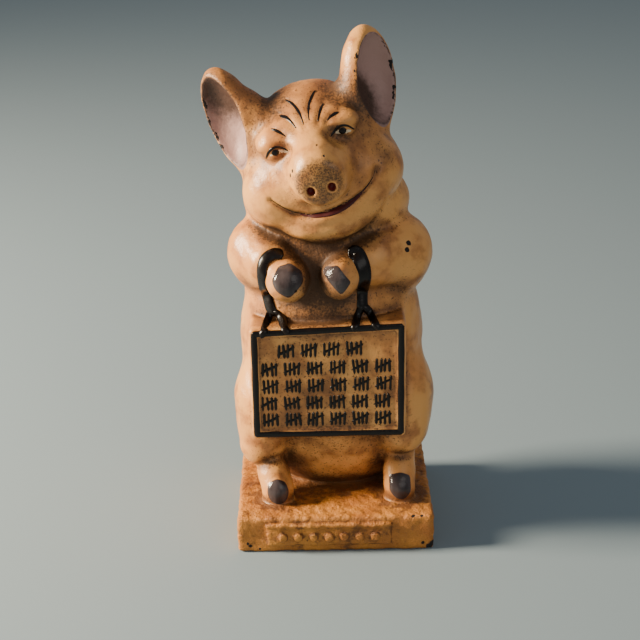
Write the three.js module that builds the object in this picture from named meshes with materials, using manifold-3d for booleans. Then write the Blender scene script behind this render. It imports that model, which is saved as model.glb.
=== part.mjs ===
// Cast-iron piggy bank: a pig that stands upright on a plinth and holds a framed slate by two straps.
// Two hollow castings meet on an upright plane and are held by one long machine screw. The screw enters
// through the back casting and turns in a square nut, which sits in a side slot of the front casting's post.
// Millimetres, +Z up. The pig faces -Y, and the origin lies on the plinth's underside, below its middle.

import * as THREE from "three";
import { mergeVertices } from "three/addons/utils/BufferGeometryUtils.js";
import Module from "manifold-3d";

const wasm = await Module();
wasm.setup();

// ---- Driving dimensions -------------------------------------------------------------------------------

const PLINTH = { width: 65, depth: 60, height: 12.6, corner: 3, bevel: 0.8 };
const WALL = 4; // thickness of the iron
const PARTING_Y = 2; // plane on which the castings meet
const SEAM = 0.3; // gap left by the parting line

const HEAD = { x: -3.7, y: -2, z: 127.5, tilt: 15 }; // the head leans to one side, in degrees
const EAR = { at: [21.9, -2.5, 19], lean: 11.5, yaw: 42, widths: [9.6, 7.8], left: 18.8, right: 18 };
const SLATE = { x: -1.7, z: 59.2, width: 49.8, height: 39.2, face: -25.5, root: -12, border: 3.1, rise: 0.6, lean: 1.2 };
const COIN_SLOT = { x: -1, z: 94, width: 33, height: 3.4 };

const SCREW = { z: 62, seat: 21.5, tip: -13, radius: 2.3, headRadius: 4.6, headHeight: 2.9, slot: 1.3 };
const SCREW_HOLE = 2.7; // radius of the clearance hole through the back casting and the post
const SEAT = { radius: 6.2, pad: 8.5 }; // round recess for the screw's head, and the thicker iron behind it
const NUT = { side: 9.4, thickness: 3.2, back: -6.6, clearance: 0.3 };
const POST = { radius: 7.6, front: -22, back: -3 };
const TONGUE = { reach: 3, root: 6, thickness: 2.4, clearance: 0.8, length: 9, heights: [38, 84] };

const BLEND = 3.5; // how softly the pig's masses run into each other
const FAR = 200; // larger than the bank: the size of a cutting block, and where a probe starts
const CLEAN = 0.03; // a cut's slivers thinner than this are merged

// ---- Solids -------------------------------------------------------------------------------------------

// A closed three.js geometry as a manifold-3d solid.
function solid(geometry) {
  const bare = geometry.clone();
  bare.deleteAttribute("normal");
  bare.deleteAttribute("uv");
  const merged = mergeVertices(bare, 1e-4);
  return new wasm.Manifold(
    new wasm.Mesh({
      numProp: 3,
      vertProperties: merged.attributes.position.array,
      triVerts: new Uint32Array(merged.index.array),
    }),
  );
}

// A manifold-3d solid as a three.js geometry.
function geometryOf(body) {
  const mesh = body.simplify(CLEAN).getMesh();
  const geometry = new THREE.BufferGeometry();
  geometry.setAttribute("position", new THREE.BufferAttribute(mesh.vertProperties, 3));
  geometry.setIndex(new THREE.BufferAttribute(mesh.triVerts, 1));
  geometry.computeVertexNormals();
  return geometry;
}

const join = (solids) => solids.reduce((sum, next) => sum.add(next));

// An ellipsoid with its middle at `at` and half axes `radii`, turned by `turn` degrees about X, Y and Z.
function ball(at, radii, turn, detail) {
  const geometry = new THREE.SphereGeometry(1, detail, Math.round(detail * 0.65));
  geometry.rotateX(Math.PI / 2);
  geometry.scale(...radii);
  const angles = turn.map(THREE.MathUtils.degToRad);
  geometry.applyMatrix4(new THREE.Matrix4().makeRotationFromEuler(new THREE.Euler(...angles)));
  geometry.translate(...at);
  return solid(geometry);
}

// A tapered rod with round ends, from radius r0 around `from` to radius r1 around `to`.
function limb(from, to, r0, r1, detail) {
  const along = new THREE.Vector3(...to).sub(new THREE.Vector3(...from));
  const length = along.length();
  const steps = 3;
  const profile = [new THREE.Vector2(0, -r0)];
  for (let i = 1; i <= steps; i++) {
    const angle = (Math.PI / 2) * (i / steps);
    profile.push(new THREE.Vector2(r0 * Math.sin(angle), -r0 * Math.cos(angle)));
  }
  for (let i = 0; i < steps; i++) {
    const angle = (Math.PI / 2) * (i / steps);
    profile.push(new THREE.Vector2(r1 * Math.cos(angle), length + r1 * Math.sin(angle)));
  }
  profile.push(new THREE.Vector2(0, length + r1));
  const geometry = new THREE.LatheGeometry(profile, detail);
  geometry.applyQuaternion(new THREE.Quaternion().setFromUnitVectors(new THREE.Vector3(0, 1, 0), along.normalize()));
  geometry.translate(...from);
  return solid(geometry);
}

// A cylinder along Y, from y0 to y1, around the line at x and z.
function rod(x, z, y0, y1, radius, detail = 24) {
  const geometry = new THREE.CylinderGeometry(radius, radius, y1 - y0, detail);
  geometry.translate(x, (y0 + y1) / 2, z);
  return solid(geometry);
}

// A box between two corners.
function block(low, high) {
  const size = high.map((value, i) => value - low[i]);
  const geometry = new THREE.BoxGeometry(...size);
  geometry.translate(...low.map((value, i) => value + size[i] / 2));
  return solid(geometry);
}

function roundedRectangle(width, height, corner) {
  const [x, y] = [width / 2, height / 2];
  const shape = new THREE.Shape();
  shape.moveTo(-x + corner, -y);
  shape.lineTo(x - corner, -y);
  shape.absarc(x - corner, -y + corner, corner, -Math.PI / 2, 0);
  shape.lineTo(x, y - corner);
  shape.absarc(x - corner, y - corner, corner, 0, Math.PI / 2);
  shape.lineTo(-x + corner, y);
  shape.absarc(-x + corner, y - corner, corner, Math.PI / 2, Math.PI);
  shape.lineTo(-x, -y + corner);
  shape.absarc(-x + corner, -y + corner, corner, Math.PI, Math.PI * 1.5);
  return shape;
}

// ---- Fields -------------------------------------------------------------------------------------------
// A field gives a point's distance from a mass, and is negative inside it.

function egg(at, radii) {
  const middle = new THREE.Vector3(...at);
  const size = new THREE.Vector3(...radii);
  return (point) => {
    const scaled = point.clone().sub(middle).divide(size);
    const reach = scaled.length();
    const slope = scaled.divide(size).length();
    return slope < 1e-9 ? -Math.min(...radii) : (reach * (reach - 1)) / slope;
  };
}

function sausage(from, to, r0, r1) {
  const start = new THREE.Vector3(...from);
  const along = new THREE.Vector3(...to).sub(start);
  return (point) => {
    const offset = point.clone().sub(start);
    const share = THREE.MathUtils.clamp(offset.dot(along) / along.lengthSq(), 0, 1);
    return offset.addScaledVector(along, -share).length() - THREE.MathUtils.lerp(r0, r1, share);
  };
}

// The union of several fields, with a fillet of about `softness` where two of them meet.
function blend(fields, softness) {
  return (point) =>
    fields
      .map((field) => field(point))
      .reduce((a, b) => {
        const h = Math.max(softness - Math.abs(a - b), 0) / softness;
        return Math.min(a, b) - (h * h * softness) / 4;
      });
}

// A field made in the head's own frame, whose middle is at 0 and whose face looks towards -Y.
const headTurn = new THREE.Matrix4()
  .makeRotationY(THREE.MathUtils.degToRad(-HEAD.tilt))
  .setPosition(HEAD.x, HEAD.y, HEAD.z);
const toHead = headTurn.clone().invert();
const onHead = (field) => (point) => field(point.clone().applyMatrix4(toHead));

const trunk = [
  egg([1, 6.3, 38], [29.8, 20.7, 31]), // hips and rump
  egg([-0.2, 1.5, 66], [30.4, 23, 42]), // belly
  egg([-1, 2, 94], [28.5, 20, 22]), // chest
  egg([-1.2, 1, 113], [26.8, 19, 15.5]), // neck
  egg([-2, -6, 80.5], [22.5, 13, 12.5]), // front of the chest, behind the straps
];
const skull = [
  onHead(egg([0, 0.5, 3.5], [20.5, 22, 21])), // brain case
  onHead(egg([0, -1, -6.5], [25.5, 21, 16])), // cheeks and jowls
];
const shoulders = [
  egg([-22.9, -2, 96], [9.3, 13, 12.8]),
  egg([21.7, -2, 94.6], [9.4, 13, 14]),
];
const thighs = [
  egg([-21.4, -1, 44], [10.8, 17, 21]),
  egg([22, -1, 44], [11.6, 17, 21]),
  sausage([-22.4, -5.5, 46], [-24.6, -8.8, 30], 10.5, 7.2), // the left knee is turned out
  sausage([22.4, -5.5, 46], [22.6, -9.5, 35.2], 10.5, 8.3),
];
const jaw = [
  onHead(egg([-13.8, -12.3, -4.5], [10.5, 8.8, 9.5])), // cheeks
  onHead(egg([13.8, -12.3, -4.5], [10.5, 8.8, 9.5])),
  onHead(egg([0, -15, -14], [15.5, 9, 9.2])), // chin
  onHead(sausage([0.2, -14.5, 2], [0.8, -24.8, 1.2], 12, 8.2)), // root of the muzzle
];
const pigField = blend([...trunk, ...skull, ...shoulders, ...thighs, ...jaw], BLEND);
const roomField = blend([...trunk, ...skull], BLEND);

// How far a probe travels from `from` along `direction`, at most `limit`, until it is `depth` inside the field.
function probe(field, from, direction, depth, limit) {
  let travelled = 0;
  for (let step = 0; step < 80; step++) {
    const gap = field(from.clone().addScaledVector(direction, travelled)) + depth;
    if (gap < 0.01 || travelled > limit) break;
    travelled += gap * 0.8;
  }
  return Math.min(travelled, limit);
}

// A skin drawn tight over a field: a domed sleeve whose every vertex is moved in towards the sleeve's axis.
function skin(field, depth, bottom, rings, segments) {
  const dome = 60; // the sleeve's radius, outside of every mass
  const capRings = Math.round(rings / 3);
  const profile = [new THREE.Vector2(0, bottom)];
  for (let i = 0; i <= rings; i++) {
    profile.push(new THREE.Vector2(dome, THREE.MathUtils.lerp(bottom, HEAD.z, i / rings)));
  }
  for (let i = 1; i < capRings; i++) {
    const angle = (Math.PI / 2) * (i / capRings);
    profile.push(new THREE.Vector2(dome * Math.cos(angle), HEAD.z + dome * Math.sin(angle)));
  }
  profile.push(new THREE.Vector2(0, HEAD.z + dome));
  const geometry = new THREE.LatheGeometry(profile, segments);
  geometry.rotateX(Math.PI / 2); // the lathe's axis becomes Z
  const positions = geometry.getAttribute("position");
  const vertex = new THREE.Vector3();
  for (let i = 0; i < positions.count; i++) {
    vertex.fromBufferAttribute(positions, i);
    const height = Math.min(vertex.z, HEAD.z);
    const lean = HEAD.x * THREE.MathUtils.smoothstep(height, 70, HEAD.z);
    const axis = new THREE.Vector3(lean, 0, height);
    vertex.x += lean;
    const inwards = axis.clone().sub(vertex);
    if (inwards.length() < 1e-6) {
      positions.setXYZ(i, axis.x, axis.y, axis.z);
      continue;
    }
    const limit = inwards.length() - 1;
    inwards.normalize();
    vertex.addScaledVector(inwards, probe(field, vertex, inwards, depth, limit));
    positions.setXYZ(i, vertex.x, vertex.y, vertex.z);
  }
  return solid(geometry);
}

// ---- The pig's outer details ----------------------------------------------------------------------------

const placeOnHead = (body) => body.rotate([0, -HEAD.tilt, 0]).translate([HEAD.x, HEAD.y, HEAD.z]);

function snout() {
  const nostril = (x, z) => rod(x, z, -36, -31.6, 1.4, 8);
  const disc = limb([0.2, -18, 1.8], [0.7, -25, 0.8], 9.4, 8.2, 20).add(rod(0.7, 0.6, -33, -24, 7.9, 20));
  return placeOnHead(disc.subtract(nostril(-2.75, -1.3)).subtract(nostril(3.65, -1.6)));
}

// A pointed pod, long in Z: the part that two balls set apart in X share.
function leaf(at, radii, detail) {
  const apart = 2.5;
  const half = (side) => ball([at[0] + side * apart, at[1], at[2]], [radii[0] + apart, radii[1], radii[2]], [0, 0, 0], detail);
  return half(-1).intersect(half(1));
}

// One ear, cupped towards the front and the outside. `long` is half its length, `root` the thick part at its foot.
function ear(side, long, root) {
  const pod = leaf([0, 0, EAR.left - long], [...EAR.widths, long], 22).add(ball(root, [7.5, 6.5, 11.5], [0, 0, 0], 14));
  const cup = leaf([0.3, -5.8, 1], [EAR.widths[0] - 1.2, EAR.widths[1] + 0.4, long - 2.2], 18);
  const shape = pod.subtract(cup).rotate([0, EAR.lean, EAR.yaw]).translate(EAR.at);
  return placeOnHead(side < 0 ? shape.mirror([1, 0, 0]) : shape);
}

// A line of limbs through `points`, whose radii are given one by one.
function limbs(points, radii, detail) {
  return join(points.slice(1).map((point, i) => limb(points[i], point, radii[i], radii[i + 1], detail)));
}

// Each forearm comes forward from the shoulder, and its hand hangs over a strap.
function forearms() {
  const left = [
    [-23, -5, 96.5],
    [-18.5, -13, 95.5],
    [-14.2, -18, 93.6],
  ];
  const right = [
    [22, -5, 96.5],
    [13.4, -12, 96.6],
    [4.4, -18.5, 94.4],
  ];
  const hands = [
    ball([-13.8, -21.8, 92.6], [6.8, 6.6, 6.7], [0, 0, 0], 16),
    ball([2.5, -21.8, 93.6], [6.1, 6.6, 7], [0, 15, 0], 16),
  ];
  return join([limbs(left, [10.2, 8.4, 6.2], 16), limbs(right, [10.6, 9, 6], 16), ...hands]);
}

function feet() {
  const left = [
    [-22.2, -8, 25],
    [-20.4, -13.2, 20],
    [-19.2, -16.2, 16.6],
    [-19.2, -16.4, 12],
  ];
  const right = [
    [22.2, -7, 28],
    [22, -13.2, 20.6],
    [21.8, -16.2, 17],
    [21.8, -16.4, 12],
  ];
  return limbs(left, [5, 5, 4.9, 5.2], 12).add(limbs(right, [5.4, 5, 4.8, 5.1], 12));
}

// A strap runs over the hand and down, and forks into two ends at the top of the slate.
function strap(points, width, forkEnds) {
  const neck = points[points.length - 1];
  const run = limbs(points, Array(points.length).fill(width / 2), 8);
  const ends = forkEnds.map((end) => limb(neck, end, 1.4, 1.1, 8));
  return join([run, ...ends]);
}

function straps() {
  const top = SLATE.z + SLATE.height / 2;
  const left = [
    [-15, -23.2, 98.8],
    [-18.4, -20.4, 99.6],
    [-21.2, -21, 97.6],
    [-21.8, -21.6, 94],
    [-20.8, -17.6, 87.4],
    [-19.2, -17.2, 80.6],
  ];
  const right = [
    [5.4, -23.4, 99.4],
    [7.4, -20.4, 100.2],
    [9.3, -22.2, 97.6],
    [9.9, -22.2, 93],
    [9.6, -18.8, 86.5],
    [9.5, -19.4, 82],
  ];
  return join([
    strap(left, 3.4, [[-22.3, -24, top - 1.2], [-13.7, -24, top - 0.9]]),
    strap(right, 4.4, [[6.5, -24, top - 0.6], [14.5, -24, top - 0.4]]),
  ]);
}

// The slate is a flat plate on the belly with a raised border round its front.
function slate() {
  const { width, height, border, rise } = SLATE;
  const depth = SLATE.root - SLATE.face;
  const options = { bevelEnabled: false, curveSegments: 3 };
  const plate = new THREE.ExtrudeGeometry(roundedRectangle(width, height, 1.6), { ...options, depth });
  const panel = new THREE.ExtrudeGeometry(roundedRectangle(width - 2 * border, height - 2 * border, 0.6), {
    ...options,
    depth: 2 * rise,
  });
  panel.translate(0, 0, depth - rise);
  return solid(plate)
    .subtract(solid(panel))
    .rotate([90, 0, 0])
    .rotate([0, -SLATE.lean, 0])
    .translate([SLATE.x, SLATE.root, SLATE.z]);
}

// A curled tail that lies against the rump.
function tail() {
  const curl = new THREE.TorusGeometry(4.6, 1.9, 8, 20);
  curl.rotateX(Math.PI / 2);
  curl.translate(0, 27, 40);
  return solid(curl).add(limb([2, 24.5, 47.5], [4.2, 26.8, 42], 2.6, 1.9, 8));
}

function plinth() {
  const { width, depth, height, corner, bevel } = PLINTH;
  const slab = new THREE.ExtrudeGeometry(roundedRectangle(width - 2 * bevel, depth - 2 * bevel, corner), {
    depth: height - 2 * bevel,
    bevelThickness: bevel,
    bevelSize: bevel,
    bevelSegments: 2,
    curveSegments: 3,
  });
  slab.translate(0, 0, bevel);
  return solid(slab);
}

// A raised panel on the plinth's front, with a row of plain round studs.
function frontPanel() {
  const front = -PLINTH.depth / 2;
  const panel = block([-22.8, front - 0.8, 2.7], [18.3, front + 1, 10.3]);
  const ridge = limb([-22.2, front - 0.5, 10], [17.8, front - 0.5, 10], 0.8, 0.8, 8);
  const studs = Array.from({ length: 7 }, (_, i) => rod(-17.5 + i * 5.08, 5.9, front - 1.6, front + 1, 1.6, 10));
  return join([panel, ridge, ...studs]);
}

// ---- The castings ---------------------------------------------------------------------------------------

const inFrontOf = (y) => block([-FAR, -FAR, 0], [FAR, y, FAR]);
const behind = (y) => block([-FAR, y, 0], [FAR, FAR, FAR]);

const pig = skin(pigField, 0, PLINTH.height - 1, 38, 48).add(plinth());
const room = skin(roomField, WALL, PLINTH.height + 2, 18, 28);

// Tongues inside the front casting's rim, which reach into the back casting and locate it.
function tongues() {
  const { reach, root, thickness, clearance, length, heights } = TONGUE;
  const wallAt = (side, y, z) => {
    const start = new THREE.Vector3(side * 60, y, z);
    return 60 - probe(roomField, start, new THREE.Vector3(-side, 0, 0), WALL, 50);
  };
  const made = [];
  for (const side of [-1, 1]) {
    for (const z of heights) {
      const wall = Math.min(wallAt(side, PARTING_Y + reach, z), wallAt(side, PARTING_Y + reach, z + length));
      const outer = side * (wall - clearance);
      const inner = side * (wall - clearance - thickness);
      const foot = side * (wall + 2.5); // buried in the casting's wall
      const [low, high] = [Math.min(outer, inner), Math.max(outer, inner)];
      made.push(block([low, PARTING_Y - root, z], [high, PARTING_Y + reach, z + length]));
      const [rootLow, rootHigh] = [Math.min(foot, inner), Math.max(foot, inner)];
      made.push(block([rootLow, PARTING_Y - root, z], [rootHigh, PARTING_Y - SEAM / 2, z + length]));
    }
  }
  return join(made);
}

// The post stands inside the belly. Its slot opens sideways, so that the nut can be dropped in.
function post() {
  const slot = NUT.side / 2 + NUT.clearance;
  const nutSlot = block(
    [-slot, NUT.back - NUT.thickness - NUT.clearance, SCREW.z - slot],
    [FAR, NUT.back + NUT.clearance, SCREW.z + slot],
  );
  return rod(0, SCREW.z, POST.front, POST.back, POST.radius)
    .subtract(nutSlot)
    .subtract(rod(0, SCREW.z, SCREW.tip - 1.5, FAR, SCREW_HOLE));
}

// The back of the head as seen along Y, with some room, as a column that runs back from the parting plane.
function wayBack() {
  const room = 1.2;
  const oval = (z, width, height) =>
    rod(0, 0, 0, FAR, 1, 40).scale([width + room, 1, height + room]).translate([0, 0, z]);
  return placeOnHead(oval(3.5, 20.5, 21).add(oval(-6.5, 25.5, 16)));
}

// The backs of the ears reach past the parting plane, and stay on the front casting, clear of the back one's way.
function frontHalf() {
  const ears = ear(-1, EAR.left, [-5.6, 2.8, -4]).add(ear(1, EAR.right, [-3.5, 2.5, -6.5]));
  return join([pig, snout(), ears, forearms(), feet(), straps(), slate(), frontPanel()])
    .intersect(inFrontOf(PARTING_Y - SEAM / 2))
    .add(ears.intersect(behind(PARTING_Y - 1)).subtract(wayBack()))
    .subtract(room)
    .add(post())
    .add(tongues());
}

function backHalf() {
  const { z, seat } = SCREW;
  const coinSlot = block(
    [COIN_SLOT.x - COIN_SLOT.width / 2, 8, COIN_SLOT.z - COIN_SLOT.height / 2],
    [COIN_SLOT.x + COIN_SLOT.width / 2, FAR, COIN_SLOT.z + COIN_SLOT.height / 2],
  );
  return pig
    .add(tail())
    .intersect(behind(PARTING_Y + SEAM / 2))
    .subtract(room)
    .add(rod(0, z, seat - WALL, seat + 1, SEAT.pad))
    .subtract(rod(0, z, seat, FAR, SEAT.radius))
    .subtract(rod(0, z, 0, FAR, SCREW_HOLE))
    .subtract(coinSlot);
}

// ---- The fasteners --------------------------------------------------------------------------------------

// Slotted round-head machine screw, with its axis along Y and its tip towards the front.
function assemblyScrew() {
  const { z, seat, tip, radius, headRadius, headHeight, slot } = SCREW;
  const under = seat + SEAM;
  const rim = 0.8; // the head's upright edge, below its dome
  const profile = [
    new THREE.Vector2(0, tip),
    new THREE.Vector2(radius - 0.6, tip),
    new THREE.Vector2(radius, tip + 0.8),
    new THREE.Vector2(radius, under),
    new THREE.Vector2(headRadius, under),
  ];
  const steps = 5;
  for (let i = 0; i < steps; i++) {
    const angle = (Math.PI / 2) * (i / steps);
    const height = under + rim + (headHeight - rim) * Math.sin(angle);
    profile.push(new THREE.Vector2(headRadius * Math.cos(angle), height));
  }
  profile.push(new THREE.Vector2(0, under + headHeight));
  const turned = new THREE.LatheGeometry(profile, 28);
  turned.translate(0, 0, z);
  const driver = block([-FAR, under + headHeight - 1.4, z - slot / 2], [FAR, FAR, z + slot / 2]);
  return solid(turned).subtract(driver);
}

function squareNut() {
  const { side, thickness, back } = NUT;
  const body = block([-side / 2, back - thickness, SCREW.z - side / 2], [side / 2, back, SCREW.z + side / 2]);
  return body.subtract(rod(0, SCREW.z, -FAR, FAR, SCREW.radius + 0.15));
}

// ---- The assembly ---------------------------------------------------------------------------------------

const enamel = new THREE.MeshStandardMaterial({ color: 0xe0b480, roughness: 0.35, metalness: 0 });
const steel = new THREE.MeshStandardMaterial({ color: 0x6b6660, roughness: 0.5, metalness: 0.9 });

function node(name, body, material) {
  const mesh = new THREE.Mesh(geometryOf(body), material);
  mesh.name = name;
  return mesh;
}

const bank = new THREE.Group();
bank.add(node("front_half", frontHalf(), enamel));
bank.add(node("back_half", backHalf(), enamel));
bank.add(node("assembly_screw", assemblyScrew(), steel));
bank.add(node("square_nut", squareNut(), steel));

export default bank;
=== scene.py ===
import math

import bpy
import numpy as np
import openvdb
from mathutils import Euler, Matrix, Vector


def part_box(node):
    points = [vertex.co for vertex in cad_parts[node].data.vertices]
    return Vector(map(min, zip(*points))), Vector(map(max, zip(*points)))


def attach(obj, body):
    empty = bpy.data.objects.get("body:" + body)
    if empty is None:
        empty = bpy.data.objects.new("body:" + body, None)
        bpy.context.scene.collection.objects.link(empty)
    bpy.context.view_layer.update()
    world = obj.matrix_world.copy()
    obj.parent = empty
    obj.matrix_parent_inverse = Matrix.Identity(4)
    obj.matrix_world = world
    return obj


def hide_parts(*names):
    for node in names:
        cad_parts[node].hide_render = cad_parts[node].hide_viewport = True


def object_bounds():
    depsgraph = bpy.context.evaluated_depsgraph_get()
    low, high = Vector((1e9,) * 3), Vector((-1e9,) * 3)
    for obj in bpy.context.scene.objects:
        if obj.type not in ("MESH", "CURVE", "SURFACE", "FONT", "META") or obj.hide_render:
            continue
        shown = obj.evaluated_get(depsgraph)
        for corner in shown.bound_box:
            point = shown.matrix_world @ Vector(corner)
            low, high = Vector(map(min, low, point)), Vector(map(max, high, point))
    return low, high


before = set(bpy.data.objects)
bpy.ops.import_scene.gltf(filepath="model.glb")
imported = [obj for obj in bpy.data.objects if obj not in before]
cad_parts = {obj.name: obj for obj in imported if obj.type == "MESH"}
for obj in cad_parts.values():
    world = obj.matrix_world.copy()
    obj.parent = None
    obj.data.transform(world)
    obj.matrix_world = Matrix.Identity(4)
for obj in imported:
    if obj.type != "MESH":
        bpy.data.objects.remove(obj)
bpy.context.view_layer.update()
MM = 0.001

# ---- Sizes, in millimetres, in the shared frame ----------

STEP = 0.68  # spacing of the sculpt's grid
PARTING, SEAM, WALL = 2.0, 0.3, 4.0  # y between the castings, the gap there and the iron's thickness
PLINTH_SIZE, PLINTH_CORNER = (65.0, 60.0, 12.6), 1.2
PANEL_LOW, PANEL_HIGH = (-22.8, 2.7), (18.3, 10.3)  # x and z of two corners of the plinth's panel
STUD_PLACES, STUD_Z, STUD_RADIUS = np.linspace(-17.5, 13.0, 7), 5.9, 1.6
ROOM_FLOOR = 14.6
HEAD, HEAD_TILT = np.array([-3.7, -2.0, 127.5]), 15.0
EAR_AT, EAR_LEAN, EAR_YAW = (21.9, -2.5, 19.0), 11.5, 42.0
EAR_LENGTHS = {-1: 18.8, 1: 18.0}  # half lengths of the left and the right ear
EAR_ROOTS = {-1: (-5.6, 2.8, -4.0), 1: (-3.5, 2.5, -6.5)}
EAR_PINCH = 2.5
SLATE_AT, SLATE_SIZE, SLATE_FACE = (-1.7, 59.2), (49.8, 39.2), -25.5
SLATE_BORDER, SLATE_RECESS = 3.1, 0.55
SLATE_TOP_LEAN, SLATE_FOOT_LEAN = 2.4, 0.0  # degrees by which its top and bottom edges climb to the right
COIN_SLOT_LOW, COIN_SLOT_HIGH = (-17.5, 92.3), (15.5, 95.7)  # x and z of the slot's corners

# The screw runs along Y. Its head is at the back, against SCREW_SEAT.
SCREW_Z, SCREW_SEAT, SCREW_TIP = 62.0, 21.5, -13.0
SCREW_RADIUS, SCREW_HOLE = 2.3, 2.7
SCREW_PITCH, THREAD_DEPTH, SCREW_PLAIN = 1.3, 0.55, 8.0  # the last is the shank's length without thread
SCREW_HEAD, SCREW_RIM, SCREW_DOME = 4.6, 0.8, 2.1  # its radius, its straight edge and the dome over that
DRIVER_SLOT, DRIVER_DEPTH = 1.3, 1.5  # the slot's width, and the height of its floor in the head
RECESS_RADIUS, BOSS_RADIUS = 6.2, 8.5  # the hole for the head, and the iron round it
POST_RADIUS, POST_FRONT, POST_BACK = 7.6, -22.0, -3.0
NUT_HALF, NUT_FRONT, NUT_BACK, NUT_ROOM = 4.7, -9.8, -6.6, 0.3

# The tongues: reach behind the parting plane, root before it, thickness, gap, half height, rows' starts.
TONGUE_REACH, TONGUE_ROOT, TONGUE_THICK, TONGUE_GAP = 3.0, 6.0, 2.9, 0.5
TONGUE_HALF, TONGUE_ROWS = 4.5, (38, 84)

# ---- The face, as x and z in the head's own frame --------

EYES = [(-10.6, 9.4), (10.7, 10.4)]
SMILE = [(-16.3, -3.8), (-13.5, -7.0), (-10.3, -9.8), (-6.5, -11.2), (-2.2, -11.6)]
SMILE += [(2.8, -11.2), (7.9, -10.3), (11.9, -8.7), (15.3, -6.0), (17.3, -3.2)]
CHEEK_CREASE = [(17.3, -3.2), (18.6, 0.0), (18.8, 4.0)]
CHIN_CREASE = [(-7.9, -15.0), (-3.0, -16.0), (2.5, -15.6)]
NOSTRILS = [(-2.75, -1.3), (3.65, -1.6)]
BROWS = [
    [(-10.2, 16.7), (-8.8, 16.1), (-7.6, 15.2), (-6.2, 13.8)],
    [(-7.0, 18.9), (-4.8, 18.4), (-3.5, 17.1), (-2.6, 15.4)],
    [(-4.3, 22.1), (-2.4, 21.0), (-1.1, 19.5), (-0.4, 18.0), (-0.1, 15.8)],
    [(5.4, 22.3), (3.9, 21.1), (2.4, 19.3), (1.7, 16.5)],
    [(7.0, 18.9), (5.9, 18.1), (5.0, 16.8), (4.2, 15.5)],
    [(11.0, 16.1), (9.7, 16.1), (8.2, 15.7), (7.0, 15.0)],
]
LIDS = [
    [(-14.4, 8.2), (-13.1, 10.1), (-11.8, 11.2), (-10.3, 11.6), (-8.9, 11.1), (-7.7, 10.3), (-6.8, 9.4)],
    [(6.7, 10.3), (8.0, 11.2), (9.3, 12.1), (10.8, 12.5), (12.6, 11.8), (14.1, 9.8)],
]
PUPILS, PUPIL_RADIUS = [(-10.7, 10.0), (10.7, 10.9)], 1.15
# Each line that is pressed into the iron, with its depth and its width.
CREASES = [(SMILE, 0.95, 0.85), (CHEEK_CREASE, 0.22, 1.8), (CHIN_CREASE, 0.35, 1.2)]
CREASES += [(stroke, 0.3, 0.9) for stroke in BROWS]

# The same, with a width as the third number.
EYE_WHITES = [
    [(-12.6, 9.3, 0.6), (-11.2, 9.9, 2.1), (-9.4, 9.9, 2.2), (-7.8, 9.6, 1.3), (-6.6, 9.4, 0.5)],
    [(8.3, 10.7, 0.5), (9.8, 10.9, 1.8), (11.6, 10.6, 2.0), (13.2, 9.9, 0.8)],
]
MOUTH_WIDTHS = (0.06, 0.14, 0.24, 0.36, 0.5, 0.55, 0.6, 0.5, 0.4, 0.2)
MOUTH_LINE = [(x, z + 0.25, width) for (x, z), width in zip(SMILE, MOUTH_WIDTHS)]
LIP = [(-9.0, -10.6, 0.4), (-6.0, -11.6, 0.9), (-2.5, -12.1, 1.5), (1.5, -12.1, 1.9), (5.2, -11.4, 2.0)]
LIP += [(8.3, -10.5, 1.5), (11.5, -8.9, 0.8), (14.3, -6.9, 0.35)]

# ---- Painted places, in the shared frame -----------------

# The straps' routes, as x, z and width.
STRAPS = [
    [(-15.0, 100.7, 2.8), (-18.2, 101.1, 3.4), (-21.2, 98.9, 3.6), (-22.0, 94.4, 3.4), (-21.3, 87.8, 3.4),
     (-20.0, 82.2, 3.7), (-18.7, 79.6, 4.0)],
    [(-18.9, 81.2, 2.8), (-21.0, 78.6, 2.5), (-22.8, 75.3, 2.5)],
    [(-18.6, 81.2, 2.8), (-16.4, 79.2, 2.5), (-13.8, 76.3, 2.4)],
    [(5.4, 100.2, 3.8), (7.4, 101.2, 4.8), (9.3, 98.4, 5.0), (10.0, 93.4, 4.9), (9.6, 86.5, 3.6),
     (9.5, 81.7, 4.0)],
    [(9.4, 83.2, 2.9), (8.3, 80.8, 2.6), (6.2, 77.2, 2.5)],
    [(9.8, 83.2, 2.9), (12.1, 80.6, 2.6), (14.7, 77.4, 2.4)],
]
# Corners of the painted hooves, as x and z: the hands, then the feet.
HOOVES = [
    [(-13.0, 99.4), (-9.3, 97.0), (-8.8, 94.0), (-13.5, 88.9), (-17.6, 91.2), (-18.9, 94.6), (-16.8, 98.3)],
    [(-2.1, 98.0), (1.9, 99.2), (5.9, 94.0), (2.8, 89.7), (-2.8, 96.2)],
    [(-22.2, 20.2), (-19.3, 21.8), (-16.4, 20.5), (-15.2, 17.4), (-16.2, 14.0), (-18.8, 13.1), (-21.6, 14.1),
     (-22.8, 17.0)],
    [(18.3, 21.8), (22.0, 23.0), (25.3, 21.6), (25.5, 16.4), (23.2, 14.0), (20.8, 14.3), (18.2, 17.0)],
]
HOOF_CORNER = 0.9
# The rows of tally marks: height and left end on the slate, and how many groups of five.
TALLY_ROWS = [(0.58, -0.62, 4), (0.26, -0.84, 6), (-0.05, -0.83, 6), (-0.36, -0.85, 6), (-0.66, -0.84, 6)]
TALLY_GROUP, TALLY_MARK = 0.292, 0.056  # from one group, and from one mark, to the next
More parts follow.
